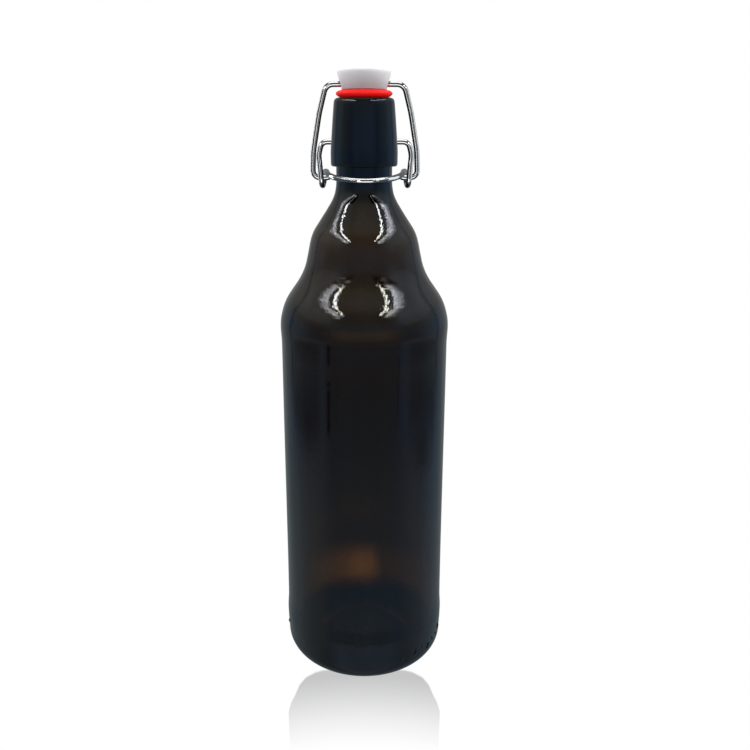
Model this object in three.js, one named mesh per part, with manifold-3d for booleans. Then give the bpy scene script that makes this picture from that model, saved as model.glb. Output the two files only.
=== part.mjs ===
// Swing top bottle, one litre: a two-bulge long-neck glass bottle closed by a
// stopper with a rubber ring, a bail wire and an over-centre lever wire.
// Millimetres, +Z up, origin at the centre of the base, front of the bottle
// (the thumb loop of the lever) towards -Y, wire pivots along X.
import * as THREE from 'three';
import { mergeVertices } from 'three/addons/utils/BufferGeometryUtils.js';
import Module from 'manifold-3d';

const wasm = await Module();
wasm.setup();

// --------------------------------------------------------- shared dimensions
const RIM_Z = 302.3;          // top of the glass
const WIRE_R = 2.7 / 2;       // both wires
const WIRE_SIDES = 10;
const GAP = 0.3;              // running clearance between pieces
const HOLE_R = WIRE_R + GAP;  // holes that take a wire
const HOLE_SIDES = 16;
const CUT_REACH = 20;         // |x| where cutting rods end, clear of the pieces

const PIVOT_Z = 282.0;        // side sockets of the collar
const EYE_Y = 1.3;            // eye of the lever sits behind the pivot: over centre
const EYE_Z = 264.9;
const CROSSBAR_Z = 308.4;     // crossbar of the bail, through the stopper

const HEAD_BOTTOM_Z = 305.75; // underside of the stopper head
const STEM_R = 5.9;           // groove that holds the rubber ring
const CLOSURE_SEGMENTS = 32;  // round the stopper and the rubber ring

// ----------------------------------------------------------------- materials
const amberGlass = new THREE.MeshStandardMaterial({
  name: 'amber_glass',
  color: 0x2a1a10,
  roughness: 0.06,
  metalness: 0.0,
  transparent: true,
  opacity: 0.9,
});
const whitePlastic = new THREE.MeshStandardMaterial({
  name: 'white_stopper',
  color: 0xe9e7ea,
  roughness: 0.38,
  metalness: 0.0,
});
const redRubber = new THREE.MeshStandardMaterial({
  name: 'red_rubber',
  color: 0xe8261c,
  roughness: 0.5,
  metalness: 0.0,
});
const steelWire = new THREE.MeshStandardMaterial({
  name: 'steel_wire',
  color: 0xb9bbbd,
  roughness: 0.2,
  metalness: 1.0,
});

// ---------------------------------------------------------- meshes and solids
const MERGE_TOLERANCE = 1e-4;

// Separate triangles that carry positions only.
function bareTriangles(geometry) {
  const bare = geometry.index ? geometry.toNonIndexed() : geometry.clone();
  for (const name of Object.keys(bare.attributes)) {
    if (name !== 'position') bare.deleteAttribute(name);
  }
  return bare;
}

// Signed volume of a closed mesh, negative when its faces point inwards.
function signedVolume(positions, indices) {
  const corners = [new THREE.Vector3(), new THREE.Vector3(), new THREE.Vector3()];
  let volume = 0;
  for (let i = 0; i < indices.length; i += 3) {
    corners.forEach((corner, k) => corner.fromBufferAttribute(positions, indices[i + k]));
    volume += corners[0].dot(corners[1].clone().cross(corners[2])) / 6;
  }
  return volume;
}

// Merged and facing outwards, without the triangles that merging collapses.
function sealed(geometry) {
  const merged = mergeVertices(bareTriangles(geometry), MERGE_TOLERANCE);
  const source = merged.index.array;
  const kept = [];
  for (let i = 0; i < source.length; i += 3) {
    const [a, b, c] = source.slice(i, i + 3);
    if (a !== b && b !== c && c !== a) kept.push(a, b, c);
  }
  if (signedVolume(merged.attributes.position, kept) < 0) {
    for (let i = 0; i < kept.length; i += 3) {
      [kept[i + 1], kept[i + 2]] = [kept[i + 2], kept[i + 1]];
    }
  }
  merged.setIndex(kept);
  merged.computeVertexNormals();
  return merged;
}

function toSolid(geometry) {
  const closed = sealed(geometry);
  return new wasm.Manifold(new wasm.Mesh({
    numProp: 3,
    vertProperties: new Float32Array(closed.attributes.position.array),
    triVerts: new Uint32Array(closed.index.array),
  }));
}

function toGeometry(solid) {
  const mesh = solid.getMesh();
  const positions = new Float32Array(mesh.vertProperties);
  const geometry = new THREE.BufferGeometry();
  geometry.setAttribute('position', new THREE.BufferAttribute(positions, 3));
  geometry.setIndex(new THREE.BufferAttribute(new Uint32Array(mesh.triVerts), 1));
  geometry.computeVertexNormals();
  return geometry;
}

// A profile of [radius, z] pairs turned round Z.
function turned(profile, segments) {
  const points = profile.map(([radius, z]) => new THREE.Vector2(radius, z));
  return new THREE.LatheGeometry(points, segments).rotateX(Math.PI / 2);
}

// Points along an arc in a profile, angles in degrees.
function arc(centreR, centreZ, radius, fromAngle, toAngle, steps) {
  const points = [];
  for (let i = 0; i <= steps; i++) {
    const angle = THREE.MathUtils.degToRad(fromAngle + (toAngle - fromAngle) * i / steps);
    points.push([centreR + radius * Math.cos(angle), centreZ + radius * Math.sin(angle)]);
  }
  return points;
}

// A rod along X that cuts a hole for a wire.
function wireHole(fromX, toX, z) {
  const rod = new THREE.CylinderGeometry(HOLE_R, HOLE_R, toX - fromX, HOLE_SIDES);
  rod.rotateZ(Math.PI / 2);
  rod.translate((fromX + toX) / 2, 0, z);
  return toSolid(rod);
}

// --------------------------------------------------------------- bent wires
const BEND_STEP = 0.12;       // largest angle between points on a bend, radians
const MIN_BEND_STEPS = 3;
const STRAIGHT_ANGLE = 1e-4;  // a corner that turns less than this stays a point
const MIN_SPACING = 1e-3;     // points closer than this are dropped

// Points on the circular bend that rounds a corner [x, y, z, bend radius].
// A corner without a radius stays a single point.
function cornerPoints([x, y, z, radius = 0], before, after) {
  const corner = new THREE.Vector3(x, y, z);
  if (!before || !after || radius === 0) return [corner];
  const toBefore = new THREE.Vector3(...before.slice(0, 3)).sub(corner).normalize();
  const toAfter = new THREE.Vector3(...after.slice(0, 3)).sub(corner).normalize();
  const angle = toBefore.angleTo(toAfter);
  const sweep = Math.PI - angle;
  if (sweep < STRAIGHT_ANGLE) return [corner];

  const setback = radius / Math.tan(angle / 2);
  const toCentre = toBefore.clone().add(toAfter).normalize();
  const centre = corner.clone().addScaledVector(toCentre, radius / Math.sin(angle / 2));
  const start = corner.clone().addScaledVector(toBefore, setback).sub(centre);
  const end = corner.clone().addScaledVector(toAfter, setback).sub(centre);
  const steps = Math.max(MIN_BEND_STEPS, Math.ceil(sweep / BEND_STEP));
  const points = [];
  for (let i = 0; i <= steps; i++) {
    const share = i / steps;
    const startWeight = Math.sin((1 - share) * sweep) / Math.sin(sweep);
    const endWeight = Math.sin(share * sweep) / Math.sin(sweep);
    points.push(centre.clone()
      .addScaledVector(start, startWeight)
      .addScaledVector(end, endWeight));
  }
  return points;
}

// Straight runs joined by circular bends, measured by length along the path.
class BentPath extends THREE.Curve {
  constructor(corners) {
    super();
    this.points = [];
    this.lengths = []; // path length from the start to each point
    corners.forEach((corner, i) => {
      for (const point of cornerPoints(corner, corners[i - 1], corners[i + 1])) {
        this.addPoint(point);
      }
    });
    this.arcLengthDivisions = 600;
  }

  addPoint(point) {
    const spacing = this.points.length ? point.distanceTo(this.points.at(-1)) : 0;
    if (this.points.length && spacing <= MIN_SPACING) return;
    this.lengths.push((this.lengths.at(-1) ?? 0) + spacing);
    this.points.push(point);
  }

  getPoint(t, target = new THREE.Vector3()) {
    const { points, lengths } = this;
    const length = t * lengths.at(-1);
    let i = 1;
    while (i < lengths.length - 1 && lengths[i] < length) i++;
    const share = (length - lengths[i - 1]) / (lengths[i] - lengths[i - 1]);
    return target.copy(points[i - 1]).lerp(points[i], THREE.MathUtils.clamp(share, 0, 1));
  }
}

// A round section carried along the bent path.
function wire(corners, steps) {
  const section = [];
  for (let i = 0; i < WIRE_SIDES; i++) {
    const angle = 2 * Math.PI * i / WIRE_SIDES;
    section.push(new THREE.Vector2(WIRE_R * Math.cos(angle), WIRE_R * Math.sin(angle)));
  }
  return sealed(new THREE.ExtrudeGeometry(new THREE.Shape(section), {
    steps,
    extrudePath: new BentPath(corners),
    bevelEnabled: false,
  }));
}

// Both halves of a wire, from the +X half, whose last corner lies on x = 0.
function mirrored(half) {
  const other = half.slice(0, -1).map(([x, ...rest]) => [-x, ...rest]);
  return [...half, ...other.reverse()];
}

// -------------------------------------------------------------- glass bottle
const BOTTLE_SEGMENTS = 44;
const BORE_R = 8.5;           // bore through the mouth and neck
const NECK_R = 13.82;         // outside of the plain neck under the collar
const COLLAR_R = 16.5;        // widest place of the collar
const COLLAR_BOTTOM_Z = 270.4;
const BODY_R = 43.35;         // waist of the label panel
const HEEL_R = 44.2;          // raised ring round the heel
const HEEL_CORNER_R = 11.3;   // outside corner between heel ring and base
const BEARING_INNER_R = 27.0; // flat ring the bottle stands on
const BEARING_OUTER_R = 32.5;
const PUNT_HEIGHT = 5.0;      // height of the hollow under the base
const SOCKET_BOTTOM_X = 13.5; // blind end of the sockets

// Profiles are [radius, z]. Hollow under the base, from the middle outwards.
const puntProfile = [
  [0, PUNT_HEIGHT], [12.0, 4.4], [20.0, 2.8], [25.2, 0.8], [BEARING_INNER_R, 0],
];
// Outside, from the bearing ring up to the rim.
const outsideProfile = [
  // heel
  [BEARING_OUTER_R, 0],
  ...arc(BEARING_OUTER_R, HEEL_CORNER_R, HEEL_CORNER_R, -72, 0, 5),
  [44.08, 17.6], [HEEL_R, 21.6], [HEEL_R, 25.6], [44.07, 28.2],
  // body
  [43.8, 32.2], [43.62, 40.0], [43.48, 60.0], [BODY_R, 88.0], [43.4, 116.0],
  [43.25, 160.0], [43.14, 183.6], [43.56, 188.4], [43.33, 194.4],
  // shoulder
  [42.55, 198.4], [41.24, 202.4], [38.92, 206.6], [35.44, 211.6], [32.66, 215.6],
  // upper bulge
  [30.68, 219.6], [29.36, 224.0], [28.13, 230.0], [27.29, 234.2],
  [26.52, 237.2], [24.98, 240.2], [20.94, 246.0], [17.85, 250.8],
  // neck
  [15.94, 254.0], [14.63, 257.0], [14.03, 259.6], [NECK_R, 262.4],
  // collar and mouth
  [NECK_R, COLLAR_BOTTOM_Z], [15.9, COLLAR_BOTTOM_Z + 0.5], [16.35, COLLAR_BOTTOM_Z + 1.6],
  [COLLAR_R, 275.0], [COLLAR_R, 277.8], [16.24, 281.2], [15.62, 289.1], [14.73, 300.2],
  [14.4, 301.5], [13.6, 302.1], [12.6, RIM_Z],
];
// Inside, from the mouth down to the middle of the floor.
const insideProfile = [
  [BORE_R + 0.8, RIM_Z], [BORE_R, 300.9], [BORE_R, 261.6], [9.6, 256.0], [12.0, 251.4],
  [17.4, 243.6], [20.4, 239.4], [22.2, 235.6], [23.6, 230.4],
  [24.9, 224.6], [26.2, 220.4], [28.2, 216.2], [33.6, 208.6],
  [36.4, 204.2], [38.2, 199.6], [39.0, 194.6], [39.2, 188.0],
  [39.2, 22.0], [38.4, 16.6],
  ...arc(28.3, 18.5, 11.0, -28, -84, 3),
  [24.0, 7.9], [12.0, 9.7], [0, 10.4],
];

function glassBottle() {
  const profile = [...puntProfile, ...outsideProfile, ...insideProfile];
  return toGeometry(toSolid(turned(profile, BOTTLE_SEGMENTS))
    .subtract(wireHole(SOCKET_BOTTOM_X, CUT_REACH, PIVOT_Z))
    .subtract(wireHole(-CUT_REACH, -SOCKET_BOTTOM_X, PIVOT_Z)));
}

// ------------------------------------------------------------------- stopper
const STOPPER_TOP_Z = 316.2;
const NOSE_R = 7.5;
const NOSE_TIP_Z = 297.6;

// Short nose that centres the stopper in the mouth, groove for the ring, and
// flared head with a soft crown: [radius, z], from the bottom up.
const stopperProfile = [
  [0, NOSE_TIP_Z], [4.6, NOSE_TIP_Z], [5.6, NOSE_TIP_Z + 0.5], [6.4, NOSE_TIP_Z + 1.6],
  [NOSE_R, 301.2], [NOSE_R, RIM_Z - 0.1],
  [STEM_R, RIM_Z + 0.1], [STEM_R, HEAD_BOTTOM_Z],
  [10.55, HEAD_BOTTOM_Z], [10.9, HEAD_BOTTOM_Z + 0.35], [11.35, 307.8], [11.85, 309.7],
  [12.6, 312.4], [12.97, 313.9], [12.8, 314.9], [12.1, 315.65], [10.9, 316.0],
  [6.0, 316.15], [0, STOPPER_TOP_Z],
];

function stopperHead() {
  return toGeometry(toSolid(turned(stopperProfile, CLOSURE_SEGMENTS))
    .subtract(wireHole(-CUT_REACH, CUT_REACH, CROSSBAR_Z)));
}

// --------------------------------------------------------------- rubber ring
const RING_R = 13.64;         // widest place
const RING_HOLE_R = STEM_R + GAP;
const RING_BOTTOM_Z = RIM_Z + GAP;
const RING_TOP_Z = HEAD_BOTTOM_Z - GAP;

// Closed section, [radius, z].
const ringProfile = [
  [RING_HOLE_R, RING_BOTTOM_Z], [11.6, RING_BOTTOM_Z], [12.75, RING_BOTTOM_Z + 0.3],
  [13.4, RING_BOTTOM_Z + 0.8], [RING_R, RING_BOTTOM_Z + 1.45], [13.35, RING_BOTTOM_Z + 2.1],
  [12.6, RING_BOTTOM_Z + 2.55], [11.5, RING_TOP_Z], [RING_HOLE_R, RING_TOP_Z],
  [RING_HOLE_R, RING_BOTTOM_Z],
];

function rubberRing() {
  return sealed(turned(ringProfile, CLOSURE_SEGMENTS));
}

// ----------------------------------------------------------------- bail wire
// Crossbar through the stopper, two legs that splay outwards on the way down,
// and inward ends that pass through the eyes of the lever and hook up.
const BAIL_STEPS = 108;

// [x, y, z, bend radius], from the hooked end to the middle of the crossbar.
const bailHalf = [
  [17.0, EYE_Y, EYE_Z + 1.1],
  [18.25, EYE_Y, EYE_Z, 1.0],
  [25.9, EYE_Y, EYE_Z, 3.4],
  [25.4, EYE_Y * 0.9, 277.5, 24],
  [22.25, EYE_Y * 0.35, 295.2, 40],
  [18.75, 0, CROSSBAR_Z, 4.4],
  [0, 0, CROSSBAR_Z],
];

function bailWire() {
  return wire(mirrored(bailHalf), BAIL_STEPS);
}

// ---------------------------------------------------------------- lever wire
// Ends sit in the sockets of the collar. Each side drops as a pivot leg, turns
// back in a hairpin that carries the bail, crosses inside its own pivot leg
// and runs forward into the thumb loop round the front of the neck.
const LEVER_STEPS = 148;
const HAIRPIN_R = WIRE_R + HOLE_R + 0.15; // room for the bail in the hairpin
const HAIRPIN_BEND_R = HAIRPIN_R - 0.02;
const HAIRPIN_FRONT_Y = EYE_Y - HAIRPIN_R;
const HAIRPIN_BACK_Y = EYE_Y + HAIRPIN_R;
const HAIRPIN_BOTTOM_Z = 261.1;
const LOOP_HALF_X = 18.75;
const LOOP_START_Y = -1.2;
const LOOP_START_Z = 267.9;
const LOOP_REACH = 21.6;      // how far the loop runs forward
const LOOP_DROP = 3.3;        // how far it falls on the way
const LOOP_STEPS = 14;        // per quarter ellipse

// One side of the thumb loop, from its start to the front on x = 0.
function loopQuarter() {
  const corners = [];
  for (let i = 0; i <= LOOP_STEPS; i++) {
    const angle = Math.PI / 2 * i / LOOP_STEPS;
    const forward = LOOP_REACH * Math.sin(angle);
    const x = i === LOOP_STEPS ? 0 : LOOP_HALF_X * Math.cos(angle);
    const z = LOOP_START_Z - LOOP_DROP * forward / LOOP_REACH;
    corners.push([x, LOOP_START_Y - forward, z]);
  }
  return corners;
}

// [x, y, z, bend radius], from the end in the socket to the front of the loop.
const leverHalf = [
  [14.1, 0, PIVOT_Z],
  [21.2, 0, PIVOT_Z, 3.2],
  [22.75, -0.7, 275.8, 9],
  [22.1, HAIRPIN_FRONT_Y, 270.0, 7],
  [21.35, HAIRPIN_FRONT_Y, HAIRPIN_BOTTOM_Z, HAIRPIN_BEND_R],
  [20.75, HAIRPIN_BACK_Y, HAIRPIN_BOTTOM_Z, HAIRPIN_BEND_R],
  [20.2, HAIRPIN_BACK_Y, LOOP_START_Z + 0.1, 2.2],
  ...loopQuarter(),
];

function leverWire() {
  return wire(mirrored(leverHalf), LEVER_STEPS);
}

// ------------------------------------------------------------------ assembly
function piece(name, geometry, material) {
  const mesh = new THREE.Mesh(geometry, material);
  mesh.name = name;
  return mesh;
}

const closure = new THREE.Group();
closure.name = 'swing_closure';
closure.add(
  piece('lever_wire', leverWire(), steelWire),
  piece('bail_wire', bailWire(), steelWire),
  piece('stopper_head', stopperHead(), whitePlastic),
  piece('rubber_ring', rubberRing(), redRubber),
);

const swingTopBottle = new THREE.Group();
swingTopBottle.name = 'swing_top_bottle';
swingTopBottle.add(piece('glass_bottle', glassBottle(), amberGlass), closure);

export default swingTopBottle;
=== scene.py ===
import math

import bpy
import numpy as np
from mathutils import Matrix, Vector

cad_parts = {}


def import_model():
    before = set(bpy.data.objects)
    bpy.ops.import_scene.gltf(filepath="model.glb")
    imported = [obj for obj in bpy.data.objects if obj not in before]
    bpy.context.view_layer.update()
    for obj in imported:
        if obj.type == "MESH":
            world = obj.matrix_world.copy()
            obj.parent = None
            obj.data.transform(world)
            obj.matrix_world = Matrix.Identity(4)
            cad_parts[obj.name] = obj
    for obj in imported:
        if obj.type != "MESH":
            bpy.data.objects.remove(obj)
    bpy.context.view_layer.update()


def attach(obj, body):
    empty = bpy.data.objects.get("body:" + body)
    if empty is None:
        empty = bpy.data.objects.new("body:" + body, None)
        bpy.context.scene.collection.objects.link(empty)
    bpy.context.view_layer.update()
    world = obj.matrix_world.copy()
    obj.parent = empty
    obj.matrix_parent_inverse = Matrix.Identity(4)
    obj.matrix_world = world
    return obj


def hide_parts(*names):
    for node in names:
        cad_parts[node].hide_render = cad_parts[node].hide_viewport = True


# Swing top bottle: the looks. Everything is in metres in the part's own frame,
# +Z up, origin in the middle of the base, front of the bottle towards -Y.
# Lengths are written in millimetres and multiplied by MM.
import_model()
MM = 0.001

scene = bpy.context.scene
scene.view_settings.view_transform = "Standard"
scene.view_settings.look = "None"
scene.view_settings.exposure = 0.0
scene.view_settings.gamma = 1.0


# ------------------------------------------------------------- node expressions
class Sock:
    """A shader socket or number that can be added, multiplied and compared."""

    def __init__(self, tree, s):
        self.t, self.s = tree, s

    def _m(self, op, *args, clamp=False):
        n = self.t.nodes.new("ShaderNodeMath")
        n.operation, n.use_clamp = op, clamp
        for i, a in enumerate(args):
            put(self.t, n.inputs[i], a)
        return Sock(self.t, n.outputs[0])

    def __add__(self, o): return self._m("ADD", self, o)
    def __radd__(self, o): return self._m("ADD", o, self)
    def __sub__(self, o): return self._m("SUBTRACT", self, o)
    def __rsub__(self, o): return self._m("SUBTRACT", o, self)
    def __mul__(self, o): return self._m("MULTIPLY", self, o)
    def __rmul__(self, o): return self._m("MULTIPLY", o, self)
    def __truediv__(self, o): return self._m("DIVIDE", self, o)
    def __rtruediv__(self, o): return self._m("DIVIDE", o, self)
    def __neg__(self): return self._m("MULTIPLY", self, -1.0)
    def __pow__(self, o): return self._m("POWER", self, o)
    def abs(self): return self._m("ABSOLUTE", self)
    def max(self, o): return self._m("MAXIMUM", self, o)
    def min(self, o): return self._m("MINIMUM", self, o)
    def exp(self): return self._m("EXPONENT", self)
    def sqrt(self): return self._m("SQRT", self)
    def sin(self): return self._m("SINE", self)

    def smooth(self, a, b):
        """0 below a, 1 above b, eased between."""
        n = self.t.nodes.new("ShaderNodeMapRange")
        n.interpolation_type = "SMOOTHSTEP"
        n.clamp = True
        put(self.t, n.inputs["Value"], self)
        n.inputs["From Min"].default_value = a
        n.inputs["From Max"].default_value = b
        n.inputs["To Min"].default_value = 0.0
        n.inputs["To Max"].default_value = 1.0
        return Sock(self.t, n.outputs["Result"])

    def band(self, a, b, soft):
        return self.smooth(a - soft, a + soft) * (1.0 - self.smooth(b - soft, b + soft))

    def bell(self, centre, width):
        d = (self - centre) / width
        return (-(d * d)).exp()


def put(tree, socket, value):
    if isinstance(value, Sock):
        tree.links.new(value.s, socket)
    elif isinstance(value, (tuple, list)):
        v = tuple(value)
        if socket.type == "RGBA" and len(v) == 3:
            v = v + (1.0,)
        socket.default_value = v
    else:
        socket.default_value = value


def node(tree, kind, out=0, **inputs):
    n = tree.nodes.new(kind)
    for k, v in inputs.items():
        key = k.replace("_", " ")
        if key in n.inputs:
            put(tree, n.inputs[key], v)
        else:
            setattr(n, k, v)
    return Sock(tree, n.outputs[out])


def split(tree, vector):
    n = tree.nodes.new("ShaderNodeSeparateXYZ")
    put(tree, n.inputs[0], vector)
    return [Sock(tree, n.outputs[i]) for i in range(3)]


def join(tree, x, y, z):
    n = tree.nodes.new("ShaderNodeCombineXYZ")
    for i, v in enumerate((x, y, z)):
        put(tree, n.inputs[i], v)
    return Sock(tree, n.outputs[0])


def vec(tree, op, a, b):
    n = tree.nodes.new("ShaderNodeVectorMath")
    n.operation = op
    put(tree, n.inputs[0], a)
    if op == "SCALE":
        put(tree, n.inputs["Scale"], b)
    else:
        put(tree, n.inputs[1], b)
    return Sock(tree, n.outputs[1] if op in ("DOT_PRODUCT", "LENGTH") else n.outputs[0])


def blend(tree, f, a, b):
    """Colour a at f 0, b at f 1, never clamped."""
    n = tree.nodes.new("ShaderNodeMix")
    n.data_type = "VECTOR"
    n.clamp_factor = True
    put(tree, n.inputs[0], f)
    put(tree, n.inputs[4], a)
    put(tree, n.inputs[5], b)
    return Sock(tree, n.outputs[1])


def ramp(tree, value, lo, hi, stops, mode="LINEAR"):
    """A colour or grey looked up at value; stops are (value, colour)."""
    n = tree.nodes.new("ShaderNodeValToRGB")
    n.color_ramp.interpolation = mode
    put(tree, n.inputs[0], (value - lo) / (hi - lo))
    els = n.color_ramp.elements
    while len(els) > 1:
        els.remove(els[-1])
    for i, (v, c) in enumerate(stops):
        if not isinstance(c, (tuple, list)):
            c = (c, c, c)
        p = (v - lo) / (hi - lo)
        e = els[0] if i == 0 else els.new(p)
        e.position = p
        e.color = tuple(c) + (1.0,)
    return Sock(tree, n.outputs[0])


def new_material(name):
    m = bpy.data.materials.new(name)
    m.use_nodes = True
    t = m.node_tree
    t.nodes.clear()
    out = t.nodes.new("ShaderNodeOutputMaterial")
    p = t.nodes.new("ShaderNodeBsdfPrincipled")
    t.links.new(p.outputs[0], out.inputs["Surface"])
    return m, t, p


def coords(tree, which="Object"):
    n = tree.nodes.new("ShaderNodeTexCoord")
    return Sock(tree, n.outputs[which])


def noise(tree, vector, scale, detail=2.0, rough=0.5, out=0):
    return node(tree, "ShaderNodeTexNoise", out=out, Vector=vector, Scale=scale, Detail=detail, Roughness=rough)


def bump(tree, height, distance, strength=1.0, normal=None):
    n = tree.nodes.new("ShaderNodeBump")
    put(tree, n.inputs["Height"], height)
    n.inputs["Distance"].default_value = distance
    n.inputs["Strength"].default_value = strength
    if normal is not None:
        put(tree, n.inputs["Normal"], normal)
    return Sock(tree, n.outputs[0])


# ------------------------------------------------------------------ mesh helpers
def make_object(name, verts_mm, faces, materials, face_slots=None, uvs=None):
    mesh = bpy.data.meshes.new(name)
    mesh.from_pydata((np.asarray(verts_mm, float) * MM).tolist(), [], [list(f) for f in faces])
    mesh.validate()
    mesh.polygons.foreach_set("use_smooth", [True] * len(mesh.polygons))
    for m in materials:
        mesh.materials.append(m)
    if face_slots is not None:
        mesh.polygons.foreach_set("material_index", np.asarray(face_slots, np.int32))
    if uvs is not None:
        layer = mesh.uv_layers.new(name="run")
        flat = []
        for f, uv in zip(faces, uvs):
            for u in uv:
                flat.extend(u)
        layer.data.foreach_set("uv", flat)
    mesh.update()
    o = bpy.data.objects.new(name, mesh)
    scene.collection.objects.link(o)
    return o


def resample(points, step):
    p = np.asarray(points, float)
    d = np.r_[0, np.cumsum(np.hypot(*np.diff(p, axis=0).T))]
    n = max(2, int(round(d[-1] / step)) + 1)
    s = np.linspace(0, d[-1], n)
    return np.c_[np.interp(s, d, p[:, 0]), np.interp(s, d, p[:, 1])], s


def softened(points, sigma, step=0.12):
    """A polyline with its corners eased; sigma is mm along the line, a number
    or a function of (r, z). The two ends stay put."""
    q, s = resample(points, step)
    sg = np.array([sigma(*x) for x in q]) if callable(sigma) else np.full(len(q), float(sigma))
    sg = np.minimum(sg, 0.45 * np.minimum(s - s[0], s[-1] - s) + 1e-4)
    # ease sigma itself so that it never jumps
    k = np.exp(-0.5 * (np.arange(-30, 31) * step / 1.0) ** 2)
    k /= k.sum()
    sg = np.maximum(np.convolve(np.pad(sg, 30, mode="edge"), k, "valid"), 1e-3)
    sg = np.minimum(sg, 0.45 * np.minimum(s - s[0], s[-1] - s) + 1e-3)
    out = np.empty_like(q)
    for a in range(0, len(q), 400):
        b = min(len(q), a + 400)
        w = np.exp(-0.5 * ((s[None, :] - s[a:b, None]) / sg[a:b, None]) ** 2)
        w /= w.sum(1, keepdims=True)
        out[a:b] = w @ q
    return out


def rows_along(points, target, longest, extra=None):
    """Picks about target rows along a fine polyline, closer where it bends."""
    p = np.asarray(points, float)
    d = np.diff(p, axis=0)
    seg = np.hypot(*d.T)
    ang = np.unwrap(np.arctan2(d[:, 1], d[:, 0]))
    turn = np.zeros(len(seg))
    turn[1:] = np.abs(np.diff(ang))
    k = np.ones(9) / 9
    turn = np.convolve(np.pad(turn, 4, mode="edge"), k, "valid")
    base = seg / longest
    if extra is not None:
        mid = (p[1:] + p[:-1]) / 2
        base = np.maximum(base, seg * np.array([extra(*m) for m in mid]))
    lo, hi = 0.1, 400.0
    for _ in range(40):
        c = math.sqrt(lo * hi)
        if np.maximum(base, turn * c).sum() > target:
            hi = c
        else:
            lo = c
    cost = np.r_[0, np.cumsum(np.maximum(base, turn * lo))]
    n = int(round(cost[-1]))
    want = np.linspace(0, cost[-1], n + 1)
    return np.c_[np.interp(want, cost, p[:, 0]), np.interp(want, cost, p[:, 1])]


def arc(cr, cz, rad, a0, a1, n):
    a = np.radians(np.linspace(a0, a1, n + 1))
    return [(cr + rad * math.cos(x), cz + rad * math.sin(x)) for x in a]


class Lathe:
    """A turned surface as a grid of verts, with pole fans where the profile
    starts or ends on the axis and windows that can be cut into holes."""

    def __init__(self, thetas):
        self.th = np.asarray(thetas, float)
        self.nc = len(self.th)
        self.verts, self.faces, self.slots = [], [], []
        self.rows = []
        self.windows = []

    def build(self, profile, slot_of_row, shift=None):
        prof = [tuple(x) for x in profile]
        self.profile = prof
        c, s = np.cos(self.th), np.sin(self.th)
        for j, (r, z) in enumerate(prof):
            if r < 1e-6:
                self.rows.append(("pole", len(self.verts)))
                self.verts.append((0.0, 0.0, z))
                continue
            rr = np.full(self.nc, r)
            zz = np.full(self.nc, z)
            if shift is not None:
                dr, dz = shift(j, r, z, self.th)
                rr, zz = rr + dr, zz + dz
            self.rows.append(("ring", len(self.verts)))
            self.verts.extend(zip(rr * c, rr * s, zz))
        nc = self.nc
        for j in range(len(prof) - 1):
            (ka, a), (kb, b) = self.rows[j], self.rows[j + 1]
            slot = slot_of_row(j)
            for i in range(nc):
                i2 = (i + 1) % nc
                if any(j0 <= j < j1 and i in cols for j0, j1, cols in self.windows):
                    continue
                if ka == "pole":
                    self.faces.append((a, b + i2, b + i))
                elif kb == "pole":
                    self.faces.append((a + i, a + i2, b))
                else:
                    self.faces.append((a + i, a + i2, b + i2, b + i))
                self.slots.append(slot)

    def border(self, j0, j1, i0, i1):
        """The rim of a window, anticlockwise seen from outside."""
        nc = self.nc
        idx = lambda j, i: self.rows[j][1] + (i % nc)
        loop = [idx(j0, i) for i in range(i0, i1)]
        loop += [idx(j, i1) for j in range(j0, j1)]
        loop += [idx(j1, i) for i in range(i1, i0, -1)]
        loop += [idx(j, i0) for j in range(j1, j0, -1)]
        return loop


def radius_at(profile, z, rising=True):
    """Radius of an outside profile at height z."""
    p = np.asarray(profile)
    return np.interp(z, p[:, 1], p[:, 0])


def drill(lathe, side, centre_z, loop, lip_r, hole_r, surface, depth_rings, slot, end):
    """Fills the window whose rim is loop with a smooth collar round a bore
    along X. side is +1 or -1, surface(y, z) gives |x| there, depth_rings are
    (radius, |x|) pairs, end is 'cap' or 'open'."""
    v = lathe.verts
    yz = np.array([(v[i][1], v[i][2] - centre_z) for i in loop])
    phi = np.arctan2(yz[:, 1], yz[:, 0])
    ring = list(loop)

    def add_ring(points):
        nonlocal ring
        new = []
        for q in points:
            new.append(len(v))
            v.append(tuple(q))
        n = len(ring)
        for i in range(n):
            k = (i + 1) % n
            lathe.faces.append((ring[i], ring[k], new[k], new[i]))
            lathe.slots.append(slot)
        ring = new

    circle = np.c_[np.cos(phi), np.sin(phi)] * lip_r
    for t in (0.45, 0.8, 1.0):
        q = yz * (1 - t) + circle * t
        add_ring([(side * surface(y, centre_z + z), y, centre_z + z) for y, z in q])
    # eased lip, then the bore
    drop = lip_r - hole_r
    for a in (20, 40, 60, 78, 90):
        a = math.radians(a)
        rad = lip_r - drop * math.sin(a)
        low = drop * (1 - math.cos(a))
        add_ring([(side * (surface(rad * math.cos(f), centre_z + rad * math.sin(f)) - low),
                   rad * math.cos(f), centre_z + rad * math.sin(f)) for f in phi])
    for rad, x in depth_rings:
        add_ring([(side * x, rad * math.cos(f), centre_z + rad * math.sin(f)) for f in phi])
    if end == "cap":
        c = len(v)
        v.append((side * (depth_rings[-1][1] - 0.05), 0.0, centre_z))
        for i in range(len(ring)):
            lathe.faces.append((ring[i], ring[(i + 1) % len(ring)], c))
            lathe.slots.append(slot)


def weld(o, dist=1e-6):
    import bmesh
    bm = bmesh.new()
    bm.from_mesh(o.data)
    bmesh.ops.remove_doubles(bm, verts=bm.verts, dist=dist)
    bm.to_mesh(o.data)
    bm.free()
    o.data.polygons.foreach_set("use_smooth", [True] * len(o.data.polygons))
    o.data.update()


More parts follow.
